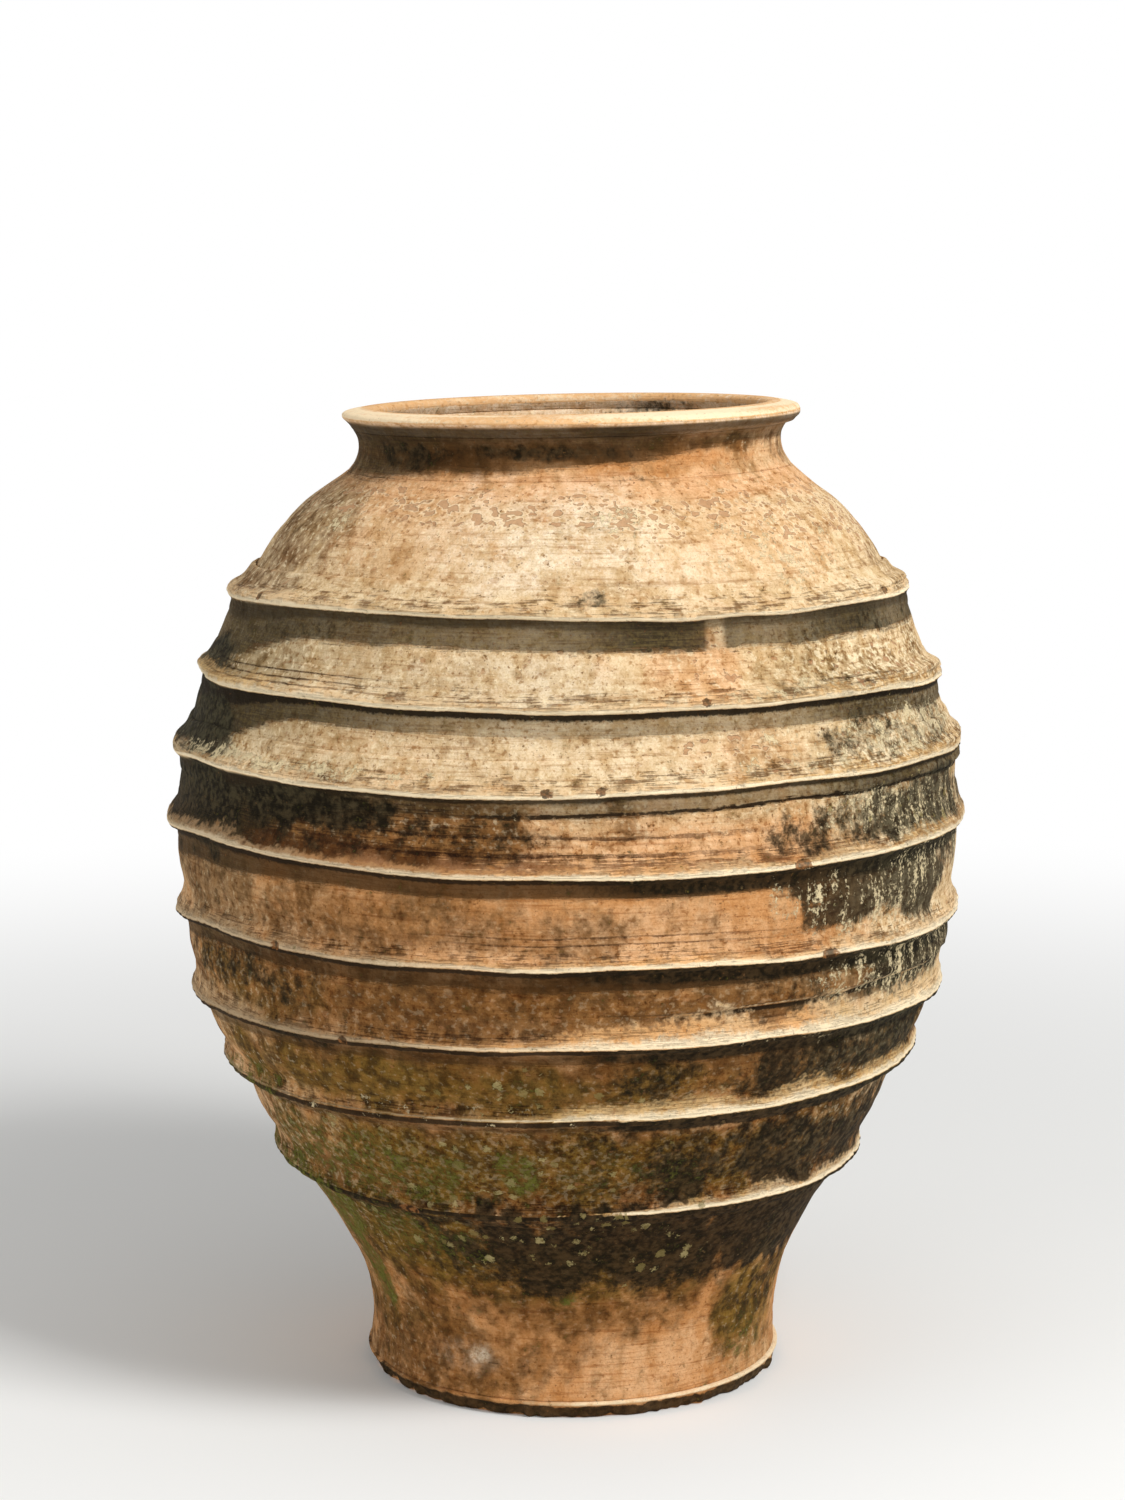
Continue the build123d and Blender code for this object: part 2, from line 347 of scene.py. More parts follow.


# ---------------------------------------------------------------- weathering

# Where the weather has marked the jar: azimuth in degrees, height, half its width in degrees, half its
# height, and how dense it is in the middle. The grime, the umber and the pale bloom also carry painted
# shade and a painted highlight, as noted at each
MARKS = {
    # black algae, lichen and soot; on the far left and on the neck under the lip also painted shade
    "grime_and_shade": [
        (-80, 655, 30, 32, 1.0), (-74, 588, 40, 42, 1.15), (-76, 712, 16, 28, 0.8), (-40, 604, 24, 22, 0.8),
        (-22, 594, 34, 24, 0.42), (-32, 576, 30, 28, 0.36), (62, 756, 30, 16, 0.45),
        (-50, 756, 26, 14, 0.35), (-20, 600, 13, 16, 0.3), (62, 657, 28, 28, 0.5), (57, 590, 33, 36, 0.72),
        (56, 520, 34, 42, 0.8), (62, 442, 29, 36, 0.8), (48, 362, 46, 38, 0.68), (48, 262, 50, 56, 0.72),
        (36, 450, 18, 15, 0.42), (52, 192, 44, 64, 1.4), (8, 178, 46, 66, 0.86), (-34, 212, 26, 18, 0.6),
        (55, 100, 15, 50, 0.45), (-58, 440, 26, 28, 0.5), (-66, 536, 5, 26, 0.4), (-58, 500, 4, 22, 0.4),
        (-45, 392, 15, 11, 0.55), (-26, 398, 5, 9, 0.6), (-80, 520, 9, 36, 0.35), (-5, 911, 26, 9, 0.6),
        (-44, 906, 18, 15, 0.6), (19, 889, 8, 6, 0.4), (4, 791, 4.5, 11, 0.62), (43, 727, 6, 28, 0.3),
        (16, 300, 30, 14, 0.4), (118, 600, 34, 130, 0.6), (168, 700, 30, 70, 0.42),
        (-128, 540, 30, 120, 0.5), (140, 190, 60, 60, 0.7), (-150, 830, 22, 30, 0.35),
        (-150, 180, 50, 60, 0.6), (105, 400, 30, 60, 0.5), (178, 905, 50, 12, 0.5),
        (-170, 380, 30, 40, 0.4), (0, 6, 400, 9, 0.95)],
    # umber stains of old damp, and painted shade on the neck under the lip, over the lower half and on the
    # left
    "umber_and_shade": [
        (-50, 906, 48, 22, 0.95), (-4, 912, 30, 13, 0.95), (38, 918, 40, 10, 0.9), (130, 908, 80, 18, 0.6),
        (-72, 820, 26, 66, 0.6), (82, 800, 12, 50, 0.3), (-32, 598, 36, 34, 1.0), (0, 606, 20, 10, 0.3),
        (-62, 510, 26, 42, 0.6), (-26, 508, 44, 34, 0.62), (-14, 434, 78, 46, 0.95), (44, 446, 34, 32, 0.6),
        (-8, 360, 84, 42, 0.95), (50, 356, 46, 46, 1.15), (0, 276, 92, 54, 0.95), (0, 242, 92, 30, 1.1),
        (-42, 582, 40, 32, 1.3), (48, 268, 48, 60, 1.2), (0, 186, 92, 64, 1.15), (24, 160, 60, 60, 0.9),
        (56, 96, 20, 64, 0.9), (-36, 150, 50, 60, 0.9), (-2, 128, 42, 56, 0.85), (-52, 56, 50, 60, 0.85),
        (-14, 60, 26, 44, 0.6), (178, 420, 92, 170, 0.6), (180, 250, 92, 110, 0.8),
        (180, 700, 60, 90, 0.15)],
    "olive": [
        (-24, 270, 60, 54, 0.95), (-40, 190, 36, 74, 0.95), (-30, 352, 54, 40, 0.8),
        (24, 275, 44, 44, 0.75), (10, 350, 40, 34, 0.5), (0, 150, 44, 44, 0.65), (-70, 700, 22, 60, 0.5),
        (54, 640, 32, 120, 0.45), (60, 330, 30, 90, 0.5), (-56, 430, 26, 30, 0.5), (180, 300, 90, 130, 0.6),
        (-120, 600, 40, 120, 0.4), (120, 640, 40, 130, 0.4), (56, 92, 18, 66, 0.85),
        (-66, 90, 20, 60, 0.5)],
    "peach": [
        (0, 880, 400, 16, 1.0), (-40, 866, 24, 18, 0.7), (10, 866, 50, 12, 0.45), (17, 730, 12, 34, 0.8),
        (27, 655, 9, 28, 0.6), (-8, 566, 34, 11, 0.75), (16, 584, 30, 20, 0.7), (10, 500, 30, 32, 0.8),
        (-34, 490, 24, 20, 0.35), (20, 46, 36, 44, 0.6), (-36, 836, 32, 44, 0.5), (42, 836, 34, 46, 0.42),
        (0, 940, 400, 30, 0.8), (4, 410, 36, 18, 0.8), (6, 484, 44, 14, 0.6), (170, 760, 24, 60, 0.4),
        (150, 480, 40, 60, 0.3), (-140, 480, 30, 50, 0.3)],
    "grey": [
        (-60, 733, 24, 36, 0.8), (-38, 735, 14, 30, 0.5), (-46, 668, 16, 30, 0.5), (-72, 850, 18, 44, 0.6),
        (-68, 515, 30, 44, 0.85), (-24, 454, 8, 14, 0.5), (-58, 404, 20, 12, 0.6), (-50, 470, 30, 10, 0.45),
        (34, 450, 28, 14, 0.8), (-12, 676, 44, 12, 0.3), (-10, 716, 26, 34, 0.35),
        (-100, 700, 40, 120, 0.4), (150, 560, 40, 120, 0.35)],
    "lime": [
        (8, 852, 9, 14, 0.4), (24, 822, 8, 10, 0.34), (-55, 845, 6, 34, 0.36), (46, 822, 24, 44, 0.3),
        (33, 657, 10, 26, 0.34), (58, 655, 28, 30, 0.42), (60, 590, 28, 34, 0.4), (54, 520, 34, 46, 0.4),
        (60, 442, 28, 38, 0.4), (35, 705, 22, 12, 0.34), (-48, 637, 36, 12, 0.46), (45, 400, 34, 16, 0.3),
        (-20, 330, 40, 14, 0.2), (130, 680, 30, 90, 0.34), (-120, 650, 30, 90, 0.3),
        (175, 500, 24, 90, 0.3)],
    # a pale bloom of lime, and a painted highlight in the middle of the shoulder
    "bloom_and_highlight": [
        (-4, 840, 26, 48, 1.0), (8, 812, 30, 26, 0.4), (-26, 57, 3.4, 9, 0.8), (-30, 54, 12, 16, 0.2),
        (-10, 720, 22, 34, 0.4), (-4, 662, 34, 24, 0.3), (150, 800, 20, 40, 0.4),
        (-110, 760, 16, 30, 0.35)],
    "moss": [
        (-45, 268, 26, 42, 0.42), (-9, 264, 3.6, 42, 0.5), (-64, 196, 15, 60, 0.72), (-60, 120, 9, 44, 0.6),
        (-1, 122, 5, 12, 0.75), (-38, 188, 18, 36, 0.4), (-66, 322, 12, 26, 0.45), (-6, 356, 11, 20, 0.16),
        (-30, 236, 24, 12, 0.4), (10, 262, 16, 26, 0.2), (-24, 262, 8, 26, 0.4), (-110, 250, 40, 80, 0.6),
        (160, 240, 46, 60, 0.4), (-150, 110, 40, 60, 0.35), (56, 50, 10, 36, 0.3)],
    "lichen": [
        (-34, 272, 54, 42, 0.55), (4, 196, 32, 48, 0.9), (-24, 196, 24, 36, 0.6), (-6, 352, 20, 30, 0.34),
        (20, 270, 20, 30, 0.22), (-140, 300, 50, 60, 0.5), (140, 330, 40, 60, 0.35),
        (60, 590, 28, 34, 0.25)],
    "flakes": [
        (0, 863, 400, 17, 0.55), (-32, 864, 14, 14, 0.75), (-13, 858, 8, 14, 0.85), (16, 856, 12, 20, 0.8),
        (46, 850, 18, 26, 0.6), (24, 740, 12, 24, 0.25), (26, 655, 9, 26, 0.5), (100, 845, 50, 26, 0.6),
        (54, 700, 16, 40, 0.3), (-120, 850, 40, 22, 0.6)],
    "drips": [
        (52, 520, 42, 48, 1.1), (58, 442, 38, 44, 1.0), (42, 366, 62, 46, 0.9), (46, 262, 60, 62, 0.9),
        (56, 590, 38, 40, 0.7), (-66, 440, 22, 32, 0.5), (150, 560, 70, 160, 0.8),
        (-130, 540, 30, 120, 0.8), (55, 100, 22, 60, 0.9)],
    "rough": [
        (60, 600, 30, 200, 1.0), (40, 300, 50, 90, 0.6), (0, 240, 90, 90, 0.8), (0, 855, 400, 34, 0.35),
        (-50, 640, 20, 16, 0.8), (0, 600, 40, 34, 0.5), (150, 560, 70, 200, 0.7), (-130, 300, 60, 120, 0.8),
        (0, 700, 400, 130, 0.3), (0, 450, 400, 60, 0.35)],
}


def marked(kind, azimuth, height, wander):
    """How dense a kind of mark is at each point, with outlines that wander."""
    density = np.zeros_like(height)
    for at, level, half_turn, half_height, strength in MARKS[kind]:
        away, climb = apart(azimuth, at), np.abs(height - level)
        near = (away < 1.5 * half_turn) & (climb < 1.5 * half_height)
        reach = ((away[near] / half_turn) ** 2.4 + (climb[near] / half_height) ** 2.4) ** (1 / 2.4)
        density[near] = np.maximum(density[near], strength * gone(reach + wander[near], 0.4, 1.2))
    return density


def burnt_and_lit_inside(layers, azimuth, height, outside):
    """The clay has burnt more buff above and on the right. Inside the neck it is clean and pale, made paler
    still as painted light, with painted shade at the back on the right.
    """
    degrees, inside = np.degrees(azimuth), 1 - outside
    right = soft(degrees, 32, 52) * gone(degrees, 120, 160)
    right = right * soft(height, 230, 420) * gone(height, 750, 790)
    buff = np.interp(height, *zip(*BURNT_BUFF)) + 0.25 * soft(np.abs(degrees), 30, 60) + 0.5 * right
    layers["buff"] = buff + (0.9 - buff) * inside * soft(height, 840, 900)
    # painted shade on the inner wall at the back on the right
    soot_and_shade = 0.5 * inside * around(azimuth, 152, 26) * soft(height, 900, 925)
    layers["grime_and_shade"] = np.maximum(layers["grime_and_shade"], soot_and_shade)
    layers["peach"] = np.maximum(layers["peach"], 0.6 * inside * soft(height, 850, 900))
    layers["bloom_and_highlight"] = np.maximum(layers["bloom_and_highlight"], 0.9 * inside * soft(height, 880, 920))


def ledges_near(azimuth, height):
    """The ledge over each point and how far above it is, and the ledge under it and how far below it is."""
    edges = [SEAM_LINE[n - 1][1] + rise(n, azimuth) - EDGE_DROP for n in BANDS]
    drop = np.array(edges + [LIP_EDGE + LIP_TILT * np.sin(azimuth)]) - height
    hidden, bare = np.where(drop > -EDGE_DROP, drop, NO_LEDGE), np.where(drop <= 0, drop, -NO_LEDGE)
    return np.argmin(hidden, axis=0) + 1, hidden.min(axis=0), np.argmax(bare, axis=0) + 1, -bare.max(axis=0)


def fold_near(azimuth, height):
    """How clearly the fold over the third ring shows, and how far each point lies below its edge."""
    degrees = np.degrees(azimuth)
    shown = soft(degrees, 4, 24) * gone(degrees, 70, 90) * (np.abs(height - FOLD_HEIGHT) < FOLD_REACH)
    return shown, fold_edge(azimuth) - height


def sheltered_and_shaded(layers, azimuth, height, outside, over, gap):
    """Under each ledge: a dark strip of dust and painted shadow, a black crevice of dirt and painted shade,
    soot and painted shadow on the right, and the sixth band's crack.
    """
    degrees = np.degrees(azimuth)
    depth, dense, black = np.array(LEE).T
    reach = depth[over - 1]
    for band, at, half_turn, by in PAINTED_SHADOW_REACH:
        reach = reach + (over == band) * by * around(azimuth, at, half_turn)
    below, lee_dust_and_shadow, crevice_dirt_and_shade = gap / reach, dense[over - 1], black[over - 1]
    # under the lip the strip is the lip's painted shadow on the neck, fainter on the right
    lee_dust_and_shadow = lee_dust_and_shadow * (1 - (over == LIP) * 0.25 * around(azimuth, 70, 70))
    # painted shadow: the strips under the sixth and seventh bands grow dense on the left, and those under
    # the fourth and fifth on the right
    shaded_sides = (soft(-degrees, 6, 44) + 0.8 * soft(degrees, 20, 44)) * gone(np.abs(degrees), 100, 140)
    lee_dust_and_shadow = lee_dust_and_shadow + np.isin(over, (6, 7)) * (1 - lee_dust_and_shadow) * shaded_sides
    lee_dust_and_shadow = lee_dust_and_shadow + np.isin(over, (4, 5)) * (1 - lee_dust_and_shadow) * soft(degrees, 14, 46) * gone(degrees, 100, 140)
    # the strip under the top band is washed through at one place
    lee_dust_and_shadow = lee_dust_and_shadow * (1 - 0.62 * gone(np.abs(degrees - 23.5), 0.9, 2.2) * (over == 8))

    # the fold over the third ring hangs down like a ledge, and fades out at both ends
    fold, hang = fold_near(azimuth, height)
    tucked = (fold > 0) & (hang > -EDGE_DROP) & (hang < FOLD_STRIP)
    below = np.where(tucked, hang / FOLD_STRIP, below)
    lee_dust_and_shadow, crevice_dirt_and_shade = np.where(tucked, 0.5 * fold, lee_dust_and_shadow), np.where(tucked, 0.95 * fold, crevice_dirt_and_shade)
    layers["below"] = np.clip(np.where((gap < NO_LEDGE) | tucked, below, 9), -1, 9)
    layers["lee_dust_and_shadow"] = lee_dust_and_shadow * outside * (1 + 0.15 * ripples(azimuth, 110, 8))
    layers["crevice_dirt_and_shade"] = crevice_dirt_and_shade * outside

    # on the right the strips of the lower half are black with soot and painted shadow
    soot_and_shade = (over <= 5) * (gap < 30) * soft(degrees, -20, 36) * gone(degrees, 100, 140) * gone(gap, 13, 23)
    layers["grime_and_shade"] = np.maximum(layers["grime_and_shade"], 1.1 * soot_and_shade * outside)
    layers["split"] = (over == 6) * outside * soft(degrees, -24, -8) * gone(degrees, 90, 110)


def grooved(layers, azimuth, radius, height, under, climb):
    """Pairs of grooves: 0 and 1 are the middles of the two, and between them is plain clay."""
    layers["groove"], layers["grooved"] = np.full_like(height, 5), np.zeros_like(height)
    for band, above, gap, at, half_turn, dent in GROOVES:
        near = (under == band) & (climb < above + 2 * gap) & (radius > wall_radius(height) - 6)
        dents = np.maximum(layers["grooved"], dent * around(azimuth, at, half_turn))
        layers["groove"] = np.where(near, (climb - above) / gap, layers["groove"])
        layers["grooved"] = np.where(near, dents, layers["grooved"])


def flaky_lines(azimuth, height, climb):
    """Thin flaky lines lie thickest just above each ledge, and on the left of the fifth ring."""
    lined = 0.06 + 0.36 * gone(climb, 8, 30) + 0.08 * gone(np.abs(height - 590), 24, 40)
    lined = lined + 0.12 * gone(height, 60, 90) - 0.3 * soft(height, 925, 932)
    return lined + 0.3 * (around(azimuth, -36, 44) * gone(np.abs(height - 588), 22, 36))


def rubbed_and_lit(layers, azimuth, height, outside, ledges):
    """The edges are rubbed pale, in some places far up the ledge and in others hardly at all. The broad
    pale tops on the right are partly painted sunlight, and the duller edges on the left and low down are
    painted shade.
    """
    over, gap, under, climb = ledges
    degrees = np.degrees(azimuth)
    broad = PLAIN_EDGE * np.ones_like(height)
    for band, at, half_turn, reach in RUBBED_AND_LIT:
        near = gone(apart(azimuth, at) / half_turn, 0.55, 1.1)
        broad = np.where(under == band, broad + (reach - broad) * near, broad)
    broad = np.maximum(broad * (1 + 0.25 * ripples(azimuth, 34, 90) * soft(broad, 3, 6)), 0.2)
    worn = np.where(gap < 3.5, 1.25 * gone(gap, 1.0, 3.0), 0)
    worn = np.maximum(worn * soft(broad, 0.5, 2.5), np.clip(1.25 - climb / broad, 0, 1.25))
    fold, hang = fold_near(azimuth, height)
    worn = np.maximum(worn, fold * np.clip(0.85 - np.abs(hang + 1) / 3, 0, 1))
    layers["worn"] = worn * outside * soft(height, 200, 215)
    # how brightly a rubbed edge is painted: dull as painted shade on the left, pale as painted light on the
    # right
    left = np.interp(np.where(gap < 6, over, under), *zip(*LEFT_EDGE_LIGHT))
    layers["edge_light"] = left + (0.95 - left) * soft(degrees, -34, 10) * gone(degrees, 110, 150)


def weather(piece, name, azimuth, radius, height, knocked=0.0):
    """Stores on a piece, point by point, how much of each kind of weathering it has, and where light and
    shade are painted.
    """
    degrees, skin = np.degrees(azimuth), wall_radius(height)
    outside = soft(radius, skin - 9, skin - 4)
    wanders = [0.14 * waves(azimuth, height, 50, 200 + n, count=16)
               + 0.08 * waves(azimuth, height, 15, 300 + n, count=16) for n in range(3)]
    layers = {kind: marked(kind, azimuth, height, wanders[n % 3]) * outside for n, kind in enumerate(MARKS)}
    ledges = over, gap, under, climb = ledges_near(azimuth, height)
    burnt_and_lit_inside(layers, azimuth, height, outside)
    sheltered_and_shaded(layers, azimuth, height, outside, over, gap)
    grooved(layers, azimuth, radius, height, under, climb)
    layers["layered"] = flaky_lines(azimuth, height, climb)
    rubbed_and_lit(layers, azimuth, height, outside, ledges)
    layers["chip"] = knocked + 0 * height
    if name == "lip":
        # the lip is rubbed clean all over its top, with a painted highlight along it and a pale bloom that
        # is partly painted highlight
        streaks = 1 + 0.1 * waves(azimuth, radius * 4, 40, 95, stretch=5.0)
        top = soft(height - LIP_TILT * np.sin(azimuth), LIP_EDGE - 0.5, LIP_EDGE + 2)
        layers["worn"] = 1.16 * streaks * top * (0.75 + 0.25 * outside)
        layers["bloom_and_highlight"] = np.maximum(layers["bloom_and_highlight"], 0.6)
        for kind, share in (("edge_light", 0.9), ("layered", 0), ("peach", 0.7), ("buff", 0.7)):
            layers[kind] = np.full_like(height, share)
    if name == "base_slab":
        # the toe is rubbed along its top edge; on the left it is painted dull, as painted shade
        right = soft(degrees, -22, 2) * gone(degrees, 110, 150)
        layers["worn"] = 1.1 * soft(height, 12.5, 14.5) * (0.05 + 0.95 * right)
        layers["edge_light"] = 0.15 + 0.7 * soft(degrees, -30, 10)
    for kind, values in layers.items():
        store = piece.data.attributes.new(kind, "FLOAT", "POINT")
        store.data.foreach_set("value", np.asarray(values, np.float32))


pieces = {}

# The base slab, with its rubbed edge standing out as the toe
pieces["base_slab"] = turned("base_slab", [
    (0, 17), (150, 17), (190, 17), (200, 17), (203, 16.8), (204.6, 16), (204.8, 14.6), (203.8, 13.2),
    (203.2, 10.5), (202.6, 8), (202, 6), (201.2, 4), (200.2, 2), (199, 0.6), (197, 0), (190, 0), (120, 0),
    (0, 0)])

inside_foot = [(181.5, 17), (180, 54)] + inner(FOOT_LINE[3:] + SEAM_LINE[:1])[1::2]
pieces["foot_wall"] = wall_ring("foot_wall", FOOT_LINE + SEAM_LINE[:1], inside_foot)
for number in RINGS:
    low_in, high_in = inner([SEAM_LINE[number - 1], SEAM_LINE[number]])
    middle_in = ((low_in[0] + high_in[0]) / 2, (low_in[1] + high_in[1]) / 2)
    pieces[f"body_ring_{number}"] = wall_ring(f"body_ring_{number}", ring_line(number),
                                              [low_in, middle_in, high_in])
shoulder = SEAM_LINE[-1:] + SHOULDER_LINE + [NECK_SEAM]
inside_shoulder = inner(shoulder)
pieces["shoulder"] = wall_ring("shoulder", shoulder, inside_shoulder[:1] + inside_shoulder[2:-1:2]
                               + inside_shoulder[-1:])
inside_neck = [inside_shoulder[-1], (188.5, 889), (185.5, 905), (186.5, 920), (190, 932)]
pieces["neck"] = wall_ring("neck", [NECK_SEAM] + NECK_LINE + [LIP_SEAM], inside_neck)
pieces["lip"] = turned("lip", drawn([
    LIP_SEAM, (211.5, 931.4), (215.5, 935.4), (218.7, 938), (219.8, 941), (217.5, 943.6), (211, 945.2),
    (202, 946.6), (195, 947), (189.5, 946), (186.7, 942.5), (187.2, 938), (189.7, 933)], LIP_STEP) + [
    (190, 932), (191, 931.7), (199, 929), (207, 926.3)])

for name, piece in pieces.items():
    finish_ring(name, piece)


def laid_band(number):
    """A band, laid over its seam by eye and seated on the wall, its edge knocked and rolled by hand."""
    name, (seam_radius, seam_height) = f"band_{number}", SEAM_LINE[number - 1]
    at = OUTLINE.index((seam_radius, seam_height))
    (r0, z0), (r1, z1) = OUTLINE[at - 1], OUTLINE[at + 1]
    length = math.hypot(r1 - r0, z1 - z0)
    up, out = ((r1 - r0) / length, (z1 - z0) / length), ((z1 - z0) / length, (r0 - r1) / length)
    section = drawn([(seam_radius + w * out[0] + u * up[0], seam_height + w * out[1] + u * up[1])
                     for w, u in BAND_SECTION], BAND_STEP)
    first, last = section[0], section[-1]
    section += [(first[0] * share + last[0] * (1 - share), first[1] * share + last[1] * (1 - share))
                for share in (0.3, 0.7)]
    piece = turned(name, section)
    azimuth, radius, height = read(piece)
    degrees = np.degrees(azimuth)
    proud = (radius - seam_radius) * out[0] + (height - seam_height) * out[1]
    along = (radius - seam_radius) * up[0] + (height - seam_height) * up[1]
    edge, lift, knocked = soft(proud, 2, 9), rise(number, azimuth), 0.0
    if number == 6:
        # the strip under this ledge has begun to part from the wall along its lower edge
        foot = 19 + 1.4 * ripples(azimuth, 40, 9)
        lower = soft(-along, 8, 13) * gone(-along, foot - 1, foot + 1)
        radius = radius + 2.8 * lower * soft(degrees, -14, 4)
    for band, at, half_turn, depth in CHIPS:
        if band == number:
            away = np.hypot((degrees - at) / half_turn, (along + 0.5) / 5.5)
            radius = radius - depth * gone(away, 0.5, 1) * soft(proud, 2, 7)
            knocked = np.maximum(knocked, gone(away, 0.6, 1) * soft(proud, 3, 5))
    for band, at, half_turn, by, up_from, spread, back in ROLLS:
        if band == number:
            roll = by * np.exp(-((along - up_from) / spread) ** 2) - back * soft(proud, 7, 10)
            radius = radius + around(azimuth, at, half_turn) * soft(proud, 0.5, 3) * roll
    radius = radius + wall_radius(seam_height + lift) - seam_radius
    radius = radius + edge * (0.7 * ripples(azimuth, 90, 60 + number)
                              + 0.25 * ripples(azimuth, 22, 70 + number)
                              + 0.3 * waves(azimuth, height, 7, 110 + number))
    height = height + lift + edge * (0.25 * ripples(azimuth, 28, 80 + number)
                                     + 0.2 * ripples(azimuth, 9, 120 + number))
    radius = radius + unevenness(azimuth, radius, height)
    write(piece, azimuth, radius, height)
    weather(piece, name, azimuth, radius, height, knocked)
    return piece


for number in BANDS:
    pieces[f"band_{number}"] = laid_band(number)

for name, piece in pieces.items():
    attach(piece, "root")
    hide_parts(name)


# ---------------------------------------------------------------- clay

def colour(code):
    """An sRGB hex colour as the linear values that a shader takes."""
    parts = [int(code[i:i + 2], 16) / 255 for i in (1, 3, 5)]
    return tuple(c / 12.92 if c <= 0.04045 else ((c + 0.055) / 1.055) ** 2.4 for c in parts) + (1.0,)


def add(tree, kind, inputs=(), **settings):
    """A node with its settings, and with numbers, hex colours, nodes or their outputs on its inputs."""
    node = tree.nodes.new("ShaderNode" + kind)
    for key, value in settings.items():
        setattr(node, key, value)
    for key, value in inputs.items() if isinstance(inputs, dict) else enumerate(inputs):
        if isinstance(value, bpy.types.Node):
            value = next(output for output in value.outputs if output.enabled)
        if isinstance(value, bpy.types.NodeSocket):
            tree.links.new(value, node.inputs[key])
        else:
            node.inputs[key].default_value = colour(value) if isinstance(value, str) else value
    return node


# Patterns in the clay: size of their humps in mm, detail, roughness, how many times they are flatter than
# wide, and where they start. So lines are 3 mm thick, scratches 1.4 mm, and runs 45 mm high.
PATTERNS = {
    "cloud": (110, 3, 0.6, 1, 0), "blotch": (36, 5, 0.6, 1, 0), "mottle": (13, 4, 0.6, 1, 0),
    "grains": (6, 2, 0.5, 1.15, 5), "fleck": (3.6, 3, 0.65, 1, 0), "sand": (2, 2, 0.6, 1, 0),
    "lines": (60, 4, 0.65, 20, 0), "scratches": (34, 4, 0.7, 24, 0), "runs": (10, 4, 0.6, 0.22, 0),
    "smudge": (15, 3, 0.6, 0.5, 11), "patch": (16, 3, 0.6, 1, 3), "pit": (8, 2, 0.5, 1, 9),
    "scales": (11, 1.6, 0.5, 1.5, 7)}

# What each piece stores beside the marks of MARKS
STORED = [
    "buff", "below", "lee_dust_and_shadow", "crevice_dirt_and_shade", "split", "groove", "grooved", "layered", "worn", "edge_light", "chip"]


